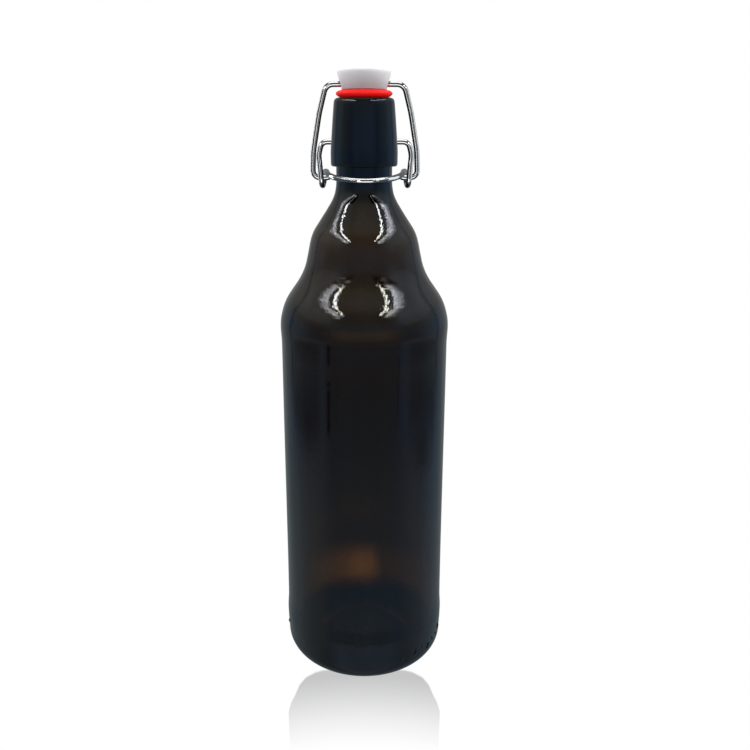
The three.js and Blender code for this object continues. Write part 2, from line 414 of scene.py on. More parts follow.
# -------------------------------------------------------------------- materials
# What the front of the tent looks like in the glass, by elevation in degrees.
# The tent itself is grey (so the wires stay neutral); the glass adds the hue.
FRONT = [
    (-90, (.12, .18, .26)), (-70, (.15, .23, .33)), (-50, (.19, .31, .44)), (-36, (.19, .31, .45)), (-31, (.13, .23, .31)),
    (-24, (.11, .20, .27)), (-19, (.11, .17, .22)), (-16.8, (.15, .18, .20)), (-15.2, (.19, .20, .21)), (-12.6, (.18, .20, .22)), (-8, (.13, .20, .31)), (0, (.16, .245, .42)), (8, (.18, .27, .46)),
    (15, (.20, .26, .34)), (25, (.20, .22, .22)), (40, (.25, .24, .21)), (50, (.37, .35, .29)), (60, (.50, .47, .40)), (75, (.48, .48, .46)), (90, (.40, .40, .40))]


def glass_outside():
    m, t, p = new_material("amber_glass_outside")
    pos = coords(t)
    x, y, z = split(t, pos)
    zmm = z * 1000.0
    # The wall is thickest at the mouth, the step under the neck and the base,
    # so less light comes through there.
    wall = ramp(t, zmm, 0.0, 310.0, [
        (0, 1.0), (5, .80), (9, .52), (14, .36), (18, .27), (24, .25), (60, .245), (90, .252), (115, .27), (140, .295), (174, .29), (186, .26),
        (200, .26), (210, .262), (220, .24), (226, .205), (237, .20), (244, .27), (252, .42), (262, .48), (270, .52), (276, .62), (300, .60), (310, .60)])
    g = wall * 4.0
    cloud = noise(t, pos, 22.0, 2.0, 0.5)
    g = g * (0.96 + cloud * 0.08)
    col = join(t, Sock(t, g.s)._m("POWER", 0.030, g), Sock(t, g.s)._m("POWER", 0.0120, g), Sock(t, g.s)._m("POWER", 0.0022, g))
    put(t, p.inputs["Base Color"], col)
    # the hue of a reflection depends on where it looks
    geo = t.nodes.new("ShaderNodeNewGeometry")
    inc = Sock(t, geo.outputs["Incoming"])
    nrm = Sock(t, geo.outputs["Normal"])
    facing = vec(t, "DOT_PRODUCT", inc, nrm)
    rx, ry, rz = split(t, vec(t, "SUBTRACT", vec(t, "SCALE", nrm, facing * 2.0), inc))
    rel = rz._m("ARCSINE", rz.min(1.0).max(-1.0)) * 57.29578
    raz = (Sock(t, rx.s)._m("ARCTAN2", rx, -ry) * 57.29578).abs()
    smear = noise(t, join(t, x * 60.0, y * 60.0, z * 14.0), 1.0, 3.0, 0.6)
    handled = noise(t, pos, 90.0, 4.0, 0.62).smooth(0.52, 0.74)
    streak = noise(t, join(t, x * 150.0, y * 150.0, z * 38.0), 1.0, 3.0, 0.65)
    touched = noise(t, pos, 42.0, 2.0, 0.6).smooth(0.36, 0.56)
    lean = rx / rz.max(0.05)
    aside = (-lean).smooth(1.02, 1.12).max(lean.smooth(0.79, 0.88))
    smudge = zmm.band(190.0, 252.0, 7.0) * streak.smooth(0.36, 0.62) * touched * aside
    put(t, p.inputs["Roughness"], 0.012 + smear.smooth(0.45, 0.75) * 0.012 + handled * 0.012 + smudge * 0.045)
    p.inputs["IOR"].default_value = 1.52
    p.inputs["Transmission Weight"].default_value = 1.0
    tint = ramp(t, rel, -90, 90, [(e, tuple(k / max(c) for k in c)) for e, c in FRONT])
    tint = blend(t, raz.smooth(42.0, 68.0), tint, (1.0, 1.0, 1.0))
    # painted reflection tint: low on the bottle the reflection of the room's dark end is made brown, not blue
    tint = blend(t, rel.band(-12.0, 14.0, 2.5) * (1.0 - zmm.smooth(204.0, 262.0)), tint, (0.88, 0.80, 0.72))
    # painted shade over reflections: where the glass reflects upwards towards the lamps, on the neck and on a band of
    # the waist, to the sides, its reflection is darkened
    reflection_cut = zmm.smooth(252.8, 254.4).max(zmm.band(216.8, 228.0, 0.8) * 0.95) * rel.smooth(22.0, 34.0)
    reflection_cut = reflection_cut * (-lean).smooth(0.64, 0.74).max(lean.smooth(0.44, 0.53)) * (1.0 - lean.abs().smooth(1.15, 1.6))
    tint = vec(t, "SCALE", tint, 1.0 - reflection_cut * 0.975)
    put(t, p.inputs["Specular Tint"], tint)
    # Slow waves of blown glass, a faint peel, and the stippled bearing ring.
    wave = noise(t, join(t, x, y, z * 0.55), 46.0, 1.0, 0.4)
    n1 = bump(t, wave, 0.00010, 1.0)
    peel = noise(t, pos, 420.0, 2.0, 0.5)
    n2 = bump(t, peel, 0.0000012, 1.0, n1)
    dimple = noise(t, join(t, x, y, z * 0.8), 300.0, 1.5, 0.5)
    ripple = noise(t, join(t, x, y, z * 0.9), 560.0, 2.0, 0.6) * zmm.band(192.0, 252.0, 5.0) * (0.62 + noise(t, pos, 70.0, 1.0).smooth(0.40, 0.58) * 0.38)
    n2 = bump(t, dimple, 0.000040, 1.0, n2)
    n2 = bump(t, ripple, 0.000075, 1.0, n2)
    rho = (x * x + y * y).sqrt() * 1000.0
    foot = rho.band(27.4, 32.6, 0.4) * (1.0 - zmm.smooth(0.5, 1.2))
    vor = t.nodes.new("ShaderNodeTexVoronoi")
    put(t, vor.inputs["Vector"], pos)
    vor.inputs["Scale"].default_value = 900.0
    stip = Sock(t, vor.outputs["Distance"]) * foot
    n3 = bump(t, stip, 0.00018, 1.0, n2)
    put(t, p.inputs["Normal"], n3)
    return m


def glass_inside():
    m, t, p = new_material("amber_glass_inside")
    pos = coords(t)
    x, y, z = split(t, pos)
    tone = noise(t, pos, 30.0, 2.0)
    col = blend(t, tone, (0.99, 0.985, 0.975), (1.0, 1.0, 0.995))
    put(t, p.inputs["Base Color"], col)
    put(t, p.inputs["Roughness"], 0.004 + noise(t, pos, 60.0, 2.0) * 0.01)
    p.inputs["IOR"].default_value = 1.52
    p.inputs["Transmission Weight"].default_value = 1.0
    wave = noise(t, join(t, x, y, z * 0.5), 60.0, 1.5, 0.45)
    put(t, p.inputs["Normal"], bump(t, wave, 0.00035, 1.0))
    return m


def steel():
    m, t, p = new_material("drawn_steel")
    uv = coords(t, "UV")
    u, v, _ = split(t, uv)
    pos = coords(t)
    patch = noise(t, pos, 160.0, 3.0, 0.6)
    dark = noise(t, pos, 700.0, 2.0, 0.6).smooth(0.58, 0.80)
    a = blend(t, patch, (0.20, 0.20, 0.20), (0.25, 0.25, 0.25))
    put(t, p.inputs["Base Color"], blend(t, dark * 0.3, a, (0.10, 0.10, 0.095)))
    p.inputs["Metallic"].default_value = 1.0
    # Draw lines run along the wire: slow along u, quick round it.
    lines = noise(t, join(t, u * 0.6, v * 26.0, 0.0), 1.0, 3.0, 0.6)
    put(t, p.inputs["Roughness"], 0.07 + lines * 0.05 + patch * 0.03)
    n1 = bump(t, lines, 0.0000006, 1.0)
    dents = noise(t, join(t, u * 0.35, v * 1.5, 3.0), 1.0, 1.0)
    n2 = bump(t, dents, 0.000008, 1.0, n1)
    put(t, p.inputs["Normal"], n2)
    return m


def white_plastic():
    m, t, p = new_material("white_plastic")
    pos = coords(t)
    x, y, z = split(t, pos)
    tone = noise(t, pos, 120.0, 3.0, 0.6)
    fleck = noise(t, pos, 900.0, 2.0, 0.6).smooth(0.66, 0.80)
    a = blend(t, tone, (0.69, 0.665, 0.70), (0.75, 0.73, 0.755))
    a = blend(t, fleck * 0.35, a, (0.56, 0.53, 0.55))
    # painted shade: darker towards the lower part and lighter towards the top, where the light falls, with a slightly
    # darker thin band at the very top edge
    a = vec(t, "SCALE", a, 0.67 + (z * 1000.0).smooth(306.5, 313.5) * 0.39 + (z * 1000.0).smooth(312.5, 315.4) * 0.12 - (z * 1000.0).smooth(315.5, 316.1) * 0.14)
    a = vec(t, "MULTIPLY", a, (0.985, 1.02, 0.985))
    put(t, p.inputs["Base Color"], a)
    put(t, p.inputs["Roughness"], 0.30 + noise(t, pos, 300.0, 3.0) * 0.16)
    p.inputs["Subsurface Weight"].default_value = 0.85
    p.inputs["Subsurface Radius"].default_value = (1.0, 1.0, 1.0)
    p.inputs["Subsurface Scale"].default_value = 0.0024
    p.inputs["IOR"].default_value = 1.49
    grain = noise(t, pos, 2600.0, 2.0, 0.6)
    n1 = bump(t, grain, 0.000012, 1.0)
    sink = noise(t, pos, 140.0, 1.0)
    put(t, p.inputs["Normal"], bump(t, sink, 0.00006, 1.0, n1))
    return m


def red_rubber():
    m, t, p = new_material("red_rubber")
    pos = coords(t)
    x, y, z = split(t, pos)
    tone = noise(t, pos, 200.0, 3.0, 0.6)
    a = blend(t, tone, (0.74, 0.005, 0.005), (0.80, 0.010, 0.008))
    dust = noise(t, pos, 1500.0, 2.0, 0.6).smooth(0.68, 0.85)
    a = blend(t, dust * 0.3, a, (0.9, 0.16, 0.13))
    put(t, p.inputs["Base Color"], a)
    put(t, p.inputs["Roughness"], 0.36 + noise(t, pos, 500.0, 3.0) * 0.2)
    p.inputs["Specular IOR Level"].default_value = 0.22
    p.inputs["IOR"].default_value = 1.43
    grain = noise(t, pos, 3000.0, 2.0, 0.6)
    put(t, p.inputs["Normal"], bump(t, grain, 0.000015, 1.0))
    return m


GLASS_OUT, GLASS_IN = glass_outside(), glass_inside()
STEEL, WHITE, RED = steel(), white_plastic(), red_rubber()

# ----------------------------------------------------------------- glass bottle
PIVOT_Z, SOCKET_R = 282.0, 1.65
CROSS_Z = 308.4

measured = [  # (height, radius) of the outside above the heel
    (22.0, 44.20), (25.3, 44.26), (26.7, 44.16), (28.0, 44.03), (29.4, 43.92), (31.4, 43.76), (36.0, 43.70),
    (60.0, 43.50), (100.0, 43.37), (140.0, 43.30), (176.0, 43.17), (181.7, 43.14), (183.9, 43.15), (186.1, 43.27),
    (188.2, 43.51), (190.4, 43.57), (192.5, 43.51), (194.7, 43.30), (196.8, 42.89), (198.9, 42.36), (201.0, 41.72),
    (203.2, 40.86), (205.3, 39.78), (207.4, 38.49), (209.5, 36.96), (211.5, 35.38), (213.6, 33.91), (215.7, 32.66),
    (217.8, 31.55), (219.8, 30.63), (221.9, 29.89), (223.9, 29.35), (226.0, 28.92), (228.0, 28.50), (230.0, 28.11),
    (232.0, 27.74), (234.1, 27.32), (236.1, 26.79), (238.1, 26.09), (240.1, 24.99), (242.1, 23.66), (244.0, 22.34),
    (246.0, 20.96), (248.0, 19.69), (250.0, 18.40), (252.0, 17.13), (252.9, 16.55), (253.9, 15.97), (254.9, 15.47),
    (255.9, 15.03), (256.8, 14.65), (257.8, 14.37), (258.8, 14.18), (259.8, 14.05), (260.7, 13.95), (261.7, 13.86),
    (264.0, 13.82), (269.6, 13.82),
]
collar = [
    (13.82, 270.32), (13.9, 270.4), (15.5, 270.46), (16.0, 270.62), (16.3, 271.0), (16.44, 271.9), (16.48, 273.4),
    (16.50, 275.0), (16.47, 277.9), (16.27, 280.7), (15.92, 285.4), (15.64, 289.1), (15.36, 292.8), (15.10, 296.0),
    (14.90, 298.3), (14.78, 299.6), (14.70, 300.5), (14.45, 301.25), (14.0, 301.8), (13.35, 302.15), (12.5, 302.3), (11.6, 302.3),
    (10.4, 302.25), (9.6, 302.05), (9.0, 301.6), (8.65, 301.0), (8.5, 300.2),
]
outline = [(0, 5.0), (6, 4.86), (12.0, 4.35), (16.5, 3.6), (20.0, 2.72), (23.2, 1.6), (25.6, 0.65), (27.0, 0.2), (28.2, 0.03), (29.5, 0.0), (31.0, 0.0)]
outline += arc(32.5, 11.3, 11.3, -90, -0.001, 30)
outline += [(43.88, 13.5), (44.1, 18.0)] + [(r, z) for z, r in measured] + collar


def out_sigma(r, z):
    if z > 300.0:
        return 0.22
    if z > 272.5:
        return 0.8
    if z > 268.8:
        return 0.10
    if z > 262.0:
        return 0.9
    if z > 196.0:
        return 2.3
    if z > 180.0:
        return 1.5
    if z > 33.0:
        return 3.0
    if z > 23.0:
        return 1.1
    if z > 1.0:
        return 0.6
    return 0.5


outer_line = softened(outline, out_sigma)


def out_extra(r, z):
    d = 0.0
    if 9.4 < z < 20.6 and r > 33:
        d = 1 / 0.46
    if 278.6 < z < 285.4:
        d = 1 / 0.62
    return d


outer_rows = rows_along(outer_line, 232, 5.5, out_extra)
outer_rows[0] = (0.0, outer_rows[0][1])
inside_pts = [
    (8.5, 300.2), (8.5, 262.4), (8.8, 259.4), (9.6, 256.0), (10.6, 253.6), (12.0, 251.3), (14.6, 247.6),
    (17.4, 243.6), (20.4, 239.4), (22.2, 235.6), (23.6, 230.4), (24.9, 224.6), (26.2, 220.4), (28.2, 216.2),
    (31.0, 212.2), (33.6, 208.6), (36.4, 204.2), (38.2, 199.6), (39.0, 194.6), (39.2, 188.0), (39.2, 22.0), (38.6, 17.2)]
inside_pts += arc(28.3, 18.5, 11.0, -22, -84, 14) + [(26.4, 7.7), (22.0, 8.1), (16.0, 9.1), (8.0, 10.1), (0.0, 10.4)]
inner_line = softened(inside_pts, lambda r, z: 2.2 if z > 30 else 1.2)
inner_rows = rows_along(inner_line, 74, 9.0)
inner_rows[-1] = (0.0, inner_rows[-1][1])
bottle_rows = np.vstack([outer_rows, inner_rows[1:]])
N_OUT = len(outer_rows)

# Columns: even, closer round the raised heel marks and the mould seam.
base_cols = 152
cols = list(np.arange(base_cols) * 360.0 / base_cols)
fine = [(-67.0, -12.0, 0.52), (-171.0, -163.0, 0.52)]
for a, b, st in fine:
    a, b = a % 360, b % 360
    cols = [c for c in cols if not (a - 0.4 < c < b + 0.4)]
    cols += list(np.arange(a, b + 1e-6, st))
for s0 in (90.0, 270.0):
    cols = [c for c in cols if abs(c - s0) > 2.4]
    cols += [s0 + d for d in (-1.9, -1.3, -0.85, -0.5, -0.22, 0.0, 0.22, 0.5, 0.85, 1.3, 1.9)]
cols = np.radians(np.array(sorted(cols)))

# Small raised mould marks round the heel: plain bars and dots, no lettering.
marks = [  # angle, height, length, slant, half width
    (-62.4, 13.3, 1.7, 35.0, 0.5), (-49.9, 13.6, 2.2, 28.0, 0.5), (-35.7, 12.1, 2.6, 30.0, 0.62),
    (-29.3, 13.9, 2.1, -34.0, 0.45), (-17.5, 16.1, 1.9, 20.0, 0.42), (-167.0, 17.6, 1.4, 0.0, 0.40),
    (-56.3, 12.2, 0.2, 0.0, 0.42), (-43.0, 14.6, 0.2, 0.0, 0.42), (-23.2, 14.2, 0.3, 0.0, 0.40),
]


def wrap(a):
    return (a + math.pi) % (2 * math.pi) - math.pi


def bottle_shift(j, r, z, th):
    dr = np.zeros(len(th))
    if j >= N_OUT:
        # the inner wall of blown glass isn't even
        if 14 < z < 200:
            f = min(1.0, (z - 14) / 14)
            dr += f * (0.18 * np.sin(2 * th + 0.8 + z / 70.0) + 0.09 * np.sin(3 * th - z / 38.0))
        return dr, 0.0 * dr
    if z < 266 and r > 20:
        f = min(1.0, max(0.0, (z - 26) / 20)) if z < 230 else max(0.0, (266 - z) / 36)
        dr += f * (0.035 * np.sin(2 * th + z / 55.0) + 0.022 * np.sin(3 * th + 1.3 - z / 31.0) + 0.012 * np.sin(5 * th + z / 23.0))
    # mould seam, front and back
    if r > 12.5 and z < 300.6:
        h = 0.055 if z < 262 else 0.04
        w = 0.30
        for s0 in (-math.pi / 2, math.pi / 2):
            dr += h * np.exp(-((r * wrap(th - s0)) / w) ** 2)
    if 8.5 < z < 21.5 and r > 30:
        for a, mz, length, slant, hw in marks:
            u = r * wrap(th - math.radians(a))
            v = z - mz
            s = math.radians(slant)
            along = u * math.sin(s) + v * math.cos(s)
            across = u * math.cos(s) - v * math.sin(s)
            over = np.maximum(np.abs(along) - length / 2, 0.0)
            d = np.hypot(over, across)
            e = np.clip((hw + 0.20 - d) / 0.44, 0, 1)
            dr += 0.58 * e * e * (3 - 2 * e)
    return dr, 0.0 * dr


outer_r = np.array([x[0] for x in outer_rows])
outer_z = np.array([x[1] for x in outer_rows])
hi = outer_z > 262


def collar_x(y, z):
    r = np.interp(z, outer_z[hi], outer_r[hi]) if z < 300 else 14.4
    return math.sqrt(max(r * r - y * y, 1.0))


bottle = Lathe(cols)
in_win = [j for j in range(N_OUT) if outer_r[j] > 14.5 and PIVOT_Z - 2.75 < outer_z[j] < PIVOT_Z + 2.75]
j0, j1 = in_win[0], in_win[-1]
holes = []
for side, centre in ((1, 0.0), (-1, math.pi)):
    near = [i for i in range(len(cols)) if abs(wrap(cols[i] - centre)) < math.radians(9.9)]
    near.sort(key=lambda i: wrap(cols[i] - centre))
    i0, i1 = near[0], near[-1]
    if i1 < i0:
        i1 += len(cols)
    bottle.windows.append((j0, j1, {i % len(cols) for i in range(i0, i1)}))
    holes.append((side, i0, i1))
bottle.build(bottle_rows, lambda j: 0 if j < N_OUT - 1 else 1, bottle_shift)
for side, i0, i1 in holes:
    loop = bottle.border(j0, j1, i0, i1)
    drill(bottle, side, PIVOT_Z, loop, 2.1, SOCKET_R, collar_x,
          [(1.65, 14.8), (1.65, 13.95), (1.57, 13.7), (1.3, 13.55), (0.7, 13.5)], 0, "cap")
glass = make_object("glass_bottle_blown", bottle.verts, bottle.faces, [GLASS_OUT, GLASS_IN], bottle.slots)
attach(glass, "bottle")
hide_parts("glass_bottle")


# ------------------------------------------------------------------------ wires
def bent(corners, step=0.35):
    """Corner points, each with a bend radius, as a fine line of true arcs."""
    pts = []
    c = [np.array(x[:3], float) for x in corners]
    rad = [x[3] if len(x) > 3 else 0.0 for x in corners]
    for i, here in enumerate(c):
        if i in (0, len(c) - 1) or rad[i] == 0:
            pts.append(here)
            continue
        a = c[i - 1] - here
        b = c[i + 1] - here
        a, b = a / np.linalg.norm(a), b / np.linalg.norm(b)
        ang = math.acos(max(-1, min(1, a @ b)))
        if math.pi - ang < 1e-4:
            pts.append(here)
            continue
        back = rad[i] / math.tan(ang / 2)
        mid = a + b
        centre = here + mid / np.linalg.norm(mid) * rad[i] / math.sin(ang / 2)
        s, e = here + a * back - centre, here + b * back - centre
        sweep = math.pi - ang
        n = max(4, int(math.ceil(sweep / 0.06)))
        for k in range(n + 1):
            f = k / n
            pts.append(centre + s * math.sin((1 - f) * sweep) / math.sin(sweep) + e * math.sin(f * sweep) / math.sin(sweep))
    line = [pts[0]]
    for q in pts[1:]:
        if np.linalg.norm(q - line[-1]) > 1e-3:
            line.append(q)
    p = np.array(line)
    d = np.r_[0, np.cumsum(np.linalg.norm(np.diff(p, axis=0), axis=1))]
    n = int(round(d[-1] / step))
    s = np.linspace(0, d[-1], n + 1)
    q = np.c_[[np.interp(s, d, p[:, k]) for k in range(3)]].T
    # take the last hint of corner off without moving the ends
    w = 3
    k = np.array([1, 2, 3, 4, 3, 2, 1.0])
    k /= k.sum()
    sm = q.copy()
    for ax in range(3):
        sm[w:-w, ax] = np.convolve(q[:, ax], k, "valid")
    return sm, s


def mirrored(half):
    other = [(-p[0],) + tuple(p[1:]) for p in half][::-1]
    return list(half) + (other[1:] if half[-1][0] == 0 else other)


def wire(name, corners, material, radius=1.35, sides=26):
    p, s = bent(corners)
    n = len(p)
    tan = np.gradient(p, axis=0)
    tan /= np.linalg.norm(tan, axis=1)[:, None]
    # a frame carried along the line without twist
    nor = np.zeros_like(p)
    up = np.array([0.0, 1.0, 0.0])
    nor[0] = up - tan[0] * (up @ tan[0])
    nor[0] /= np.linalg.norm(nor[0])
    for i in range(1, n):
        v = nor[i - 1] - tan[i] * (nor[i - 1] @ tan[i])
        nor[i] = v / np.linalg.norm(v)
    bin_ = np.cross(tan, nor)
    # How hard the line bends, to flatten the section a little there.
    curv = np.linalg.norm(np.gradient(tan, axis=0), axis=1) / np.maximum(np.gradient(s), 1e-9)
    k = np.ones(5) / 5
    curv = np.convolve(np.pad(curv, 2, mode="edge"), k, "valid")
    bend_dir = np.gradient(tan, axis=0)
    flat = np.clip(curv * 2.6 - 0.25, 0, 1) * 0.045
    verts, faces, uvs = [], [], []
    ang = np.arange(sides) * 2 * math.pi / sides

    def ring(centre, i, rad, du=0.0):
        base = len(verts)
        bd = bend_dir[i] - tan[i] * (bend_dir[i] @ tan[i])
        ln = np.linalg.norm(bd)
        bd = bd / ln if ln > 1e-9 else nor[i]
        for a in ang:
            d = nor[i] * math.cos(a) + bin_[i] * math.sin(a)
            c = d @ bd
            verts.append(tuple(centre + d * rad * (1 - flat[i] * c * c)))
        return base, s[i] + du

    rings = []
    # cropped and deburred ends
    cuts = [(0.0, 0.70), (0.05, 0.86), (0.16, 0.955), (0.32, 1.0)]
    for depth, f in cuts:
        rings.append(ring(p[0] + tan[0] * depth, 0, radius * f, depth))
    lead = int(np.searchsorted(s, 0.75))
    for i in range(lead, n - lead):
        rings.append(ring(p[i], i, radius))
    for depth, f in cuts[::-1]:
        rings.append(ring(p[-1] - tan[-1] * depth, n - 1, radius * f, -depth))
    for (a, sa), (b, sb) in zip(rings[:-1], rings[1:]):
        for i in range(sides):
            k2 = (i + 1) % sides
            faces.append((a + i, a + k2, b + k2, b + i))
            u0, u1 = i / sides, (i + 1) / sides
            uvs.append(((sa, u0), (sa, u1), (sb, u1), (sb, u0)))
    for (base, ss), flip, centre in ((rings[0], True, p[0] - tan[0] * 0.0), (rings[-1], False, p[-1])):
        c = len(verts)
        verts.append(tuple(centre))
        for i in range(sides):
            k2 = (i + 1) % sides
            f = (base + k2, base + i, c) if flip else (base + i, base + k2, c)
            faces.append(f)
            uvs.append(((ss, i / sides), (ss, (i + 1) / sides), (ss, (i + .5) / sides)))
    # both wires have slipped a little to one side in their sockets
    verts = np.asarray(verts) + (0.45, 0.0, 0.0)
    return make_object(name, verts, faces, [material], None, uvs)


EYE_Y, EYE_Z = 1.3, 264.9
bail_half = [
    (17.0, EYE_Y, EYE_Z + 1.1), (18.25, EYE_Y, EYE_Z, 1.0), (25.9, EYE_Y, EYE_Z, 3.4), (25.4, EYE_Y * 0.9, 277.5, 24.0),
    (22.25, EYE_Y * 0.35, 295.2, 40.0), (18.75, 0.0, CROSS_Z, 4.4), (0.0, 0.0, CROSS_Z)]
bail = wire("bail_wire_drawn", mirrored(bail_half), STEEL)
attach(bail, "bail")
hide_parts("bail_wire")

HAIR = 1.35 + SOCKET_R + 0.15
loop_pts = []
for i in range(29):
    a = math.pi / 2 * i / 28
    loop_pts.append((18.75 * math.cos(a) if i < 28 else 0.0, -1.2 - 21.6 * math.sin(a), 267.9 - 3.3 * math.sin(a)))
lever_half = [
    (14.1, 0.0, PIVOT_Z), (21.2, 0.0, PIVOT_Z, 3.2), (22.75, -0.7, 275.8, 9.0), (22.1, EYE_Y - HAIR, 270.0, 7.0),
    (21.35, EYE_Y - HAIR, 261.1, HAIR - 0.02), (20.75, EYE_Y + HAIR, 261.1, HAIR - 0.02), (20.2, EYE_Y + HAIR, 268.0, 2.2)] + loop_pts
lever = wire("lever_wire_drawn", mirrored(lever_half), STEEL)
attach(lever, "lever")
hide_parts("lever_wire")
for o in (bail, lever):
    o.visible_glossy = False  # the neck's own reflections stay clean

# ---------------------------------------------------------------------- stopper
head_pts = [
    (0, 297.6), (3.6, 297.6), (4.7, 297.72), (5.6, 298.1), (6.4, 299.2), (7.1, 300.5), (7.45, 301.3), (7.45, 302.15),
    (7.0, 302.42), (5.95, 302.45), (5.9, 302.9), (5.9, 305.4), (6.1, 305.68), (10.5, 305.68), (10.85, 305.95), (11.08, 306.7),
    (11.5, 308.4), (11.98, 310.2), (12.55, 312.3), (12.9, 313.7), (12.95, 314.45), (12.7, 315.15), (12.05, 315.72), (10.9, 316.03),
    (9.0, 316.1), (6.3, 316.1), (5.7, 315.98), (5.3, 315.86), (3.0, 315.84), (1.75, 315.84), (1.45, 315.95), (1.3, 316.12), (1.0, 316.17), (0, 316.17)]
head_line = softened(head_pts, lambda r, z: 0.12 if (z > 315.7 and r < 7) else (0.35 if z > 312 else 0.16), 0.05)
head_rows = rows_along(head_line, 112, 0.9, lambda r, z: 1 / 0.42 if (z > 306.0 and z < 311.2 and r > 10.6) else 0.0)
head_rows[0] = (0.0, head_rows[0][1])
head_rows[-1] = (0.0, head_rows[-1][1])
hr, hz = head_rows[:, 0], head_rows[:, 1]
flank = np.array([j for j in range(len(hr)) if hr[j] > 10.7 and 305.8 < hz[j] < 314.0])


def head_x(y, z):
    r = float(np.interp(z, hz[flank], hr[flank]))
    return math.sqrt(max(r * r - y * y, 1.0))


head_cols = np.radians(np.arange(120) * 3.0)
head = Lathe(head_cols)
win = [j for j in flank if CROSS_Z - 2.05 < hz[j] < CROSS_Z + 2.55]
hj0, hj1 = win[0], win[-1]
head_holes = []
for side, centre in ((1, 0.0), (-1, math.pi)):
    near = [i for i in range(120) if abs(wrap(head_cols[i] - centre)) < math.radians(12.1)]
    near.sort(key=lambda i: wrap(head_cols[i] - centre))
    i0, i1 = near[0], near[-1]
    if i1 < i0:
        i1 += 120
    head.windows.append((hj0, hj1, {i % 120 for i in range(i0, i1)}))
    head_holes.append((side, i0, i1))


def head_shift(j, r, z, th):
    # the parting line of the moulded head, front and back
    dr = np.zeros(len(th))
    if r > 10.6 and 305.9 < z < 315.6:
        for s0 in (-math.pi / 2, math.pi / 2):
            dr += 0.03 * np.exp(-((r * wrap(th - s0)) / 0.5) ** 2)
    return dr, 0.0 * dr


head.build(head_rows, lambda j: 0, head_shift)
for side, i0, i1 in head_holes:
    loop = head.border(hj0, hj1, i0, i1)
    drill(head, side, CROSS_Z, loop, 1.87, SOCKET_R, head_x,
          [(1.65, 9.4), (1.65, 7.0), (1.65, 4.0), (1.65, 0.0)], 0, "open")
stopper = make_object("stopper_head_moulded", head.verts, head.faces, [WHITE], head.slots)
weld(stopper, 2e-6)
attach(stopper, "stopper")
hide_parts("stopper_head")

# ------------------------------------------------------------------ rubber ring
ring_pts = [
    (8.0, 302.36), (11.4, 302.38), (12.5, 302.75), (13.3, 303.35), (13.62, 303.95), (13.64, 304.25), (13.4, 304.75),
    (12.7, 305.3), (11.6, 305.58), (8.0, 305.6), (6.6, 305.55), (6.15, 305.2), (6.05, 304.0), (6.15, 302.8), (6.6, 302.4), (8.0, 302.36)]
ring_line = softened(ring_pts, 0.3, 0.05)
ring_rows = rows_along(ring_line, 60, 0.8)


def ring_shift(j, r, z, th):
    # flash line round the widest place, and the squeeze isn't quite even
    dr = np.full(len(th), 0.0)
    if r > 13.0:
        dr += 0.035 * math.exp(-((z - 304.05) / 0.16) ** 2) * (1 + 0.5 * np.sin(7 * th))
        dr += 0.05 * np.sin(2 * th + 0.6)
    return dr, 0.0 * dr


ring = Lathe(np.radians(np.arange(128) * 360 / 128))
ring.build(ring_rows, lambda j: 0, ring_shift)
rubber = make_object("rubber_ring_pressed", ring.verts, ring.faces, [RED], ring.slots)
weld(rubber, 2e-6)
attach(rubber, "stopper")
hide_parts("rubber_ring")

# ------------------------------------------------------------------- light tent
# One soft studio: plain white behind and a dim tent in front.
world = bpy.data.worlds.new("studio")
scene.world = world
world.use_nodes = True
try:
    world.cycles.sampling_method = "NONE"
except AttributeError:
    pass
w = world.node_tree
w.nodes.clear()
gen = coords(w, "Generated")
dx, dy, dz = split(w, gen)
el = dz._m("ARCSINE", dz.min(1.0).max(-1.0)) * 57.29578
az = dx._m("ARCTAN2", dx, -dy) * 57.29578
aaz = az.abs()

front = ramp(w, el, -90, 90, [(e, max(c)) for e, c in FRONT])
left = ramp(w, el, -90, 90, [
    (-90, (.13, .17, .21)), (-55, (.16, .20, .23)), (-40, (.20, .24, .26)), (-28, (.21, .29, .35)), (-20, (.17, .26, .36)), (-16.8, (.18, .25, .31)), (-15.2, (.21, .26, .31)), (-12.2, (.22, .29, .37)),
    (0, (.20, .34, .52)), (10, (.30, .36, .41)), (20, (.46, .50, .49)), (32, (.60, .63, .60)), (50, (.46, .48, .46)), (62, (.40, .42, .40)), (90, (.36, .36, .36))])
right = ramp(w, el, -90, 90, [
    (-90, (.13, .17, .23)), (-55, (.16, .21, .27)), (-40, (.20, .26, .32)), (-28, (.20, .30, .40)), (-20, (.16, .27, .40)), (-16.8, (.18, .27, .35)), (-15.2, (.20, .28, .36)), (-12.2, (.21, .31, .43)),
    (0, (.21, .37, .60)), (10, (.28, .41, .52)), (20, (.42, .53, .63)), (32, (.56, .68, .79)), (50, (.42, .50, .58)), (62, (.38, .43, .48)), (90, (.36, .36, .36))])
back = ramp(w, el, -90, 90, [
    (-90, (.12, .14, .15)), (-50, (.15, .17, .18)), (-25, (.22, .26, .27)), (-8, (.30, .33, .34)), (4, (.35, .35, .35)), (62, (.35, .35, .35)), (90, (.40, .40, .40))])
side_mix = blend(w, az.smooth(-1.0, 1.0), left, right)
tent = blend(w, aaz.smooth(34.0, 62.0), front, side_mix)
tent = blend(w, aaz.smooth(112.0, 152.0), tent, back)
# it isn't even: soft clouds, a dark stand to the left, dimmer beside the camera
cloud = noise(w, gen, 2.6, 2.0, 0.5)
stand = (az.bell(-50.0, 3.0) * el.band(-21.5, -17.6, 0.6) * 0.80).max(az.bell(-84.0, 16.0) * el.band(-22.6, -19.4, 1.4) * 0.34)
stand = stand.max(az.bell(90.0, 15.0) * el.band(-24.0, -21.4, 1.0) * 0.34)
stand = stand.max(az.bell(47.0, 1.6) * el.band(-20.5, -13.0, 1.5) * 0.35)
dip = 0.30 * aaz.band(40.0, 84.0, 14.0) * el.band(-10.0, 14.0, 5.0)
tent = vec(w, "SCALE", tent, (1.0 - stand) * (1.0 - dip) * (0.82 + cloud * 0.36))
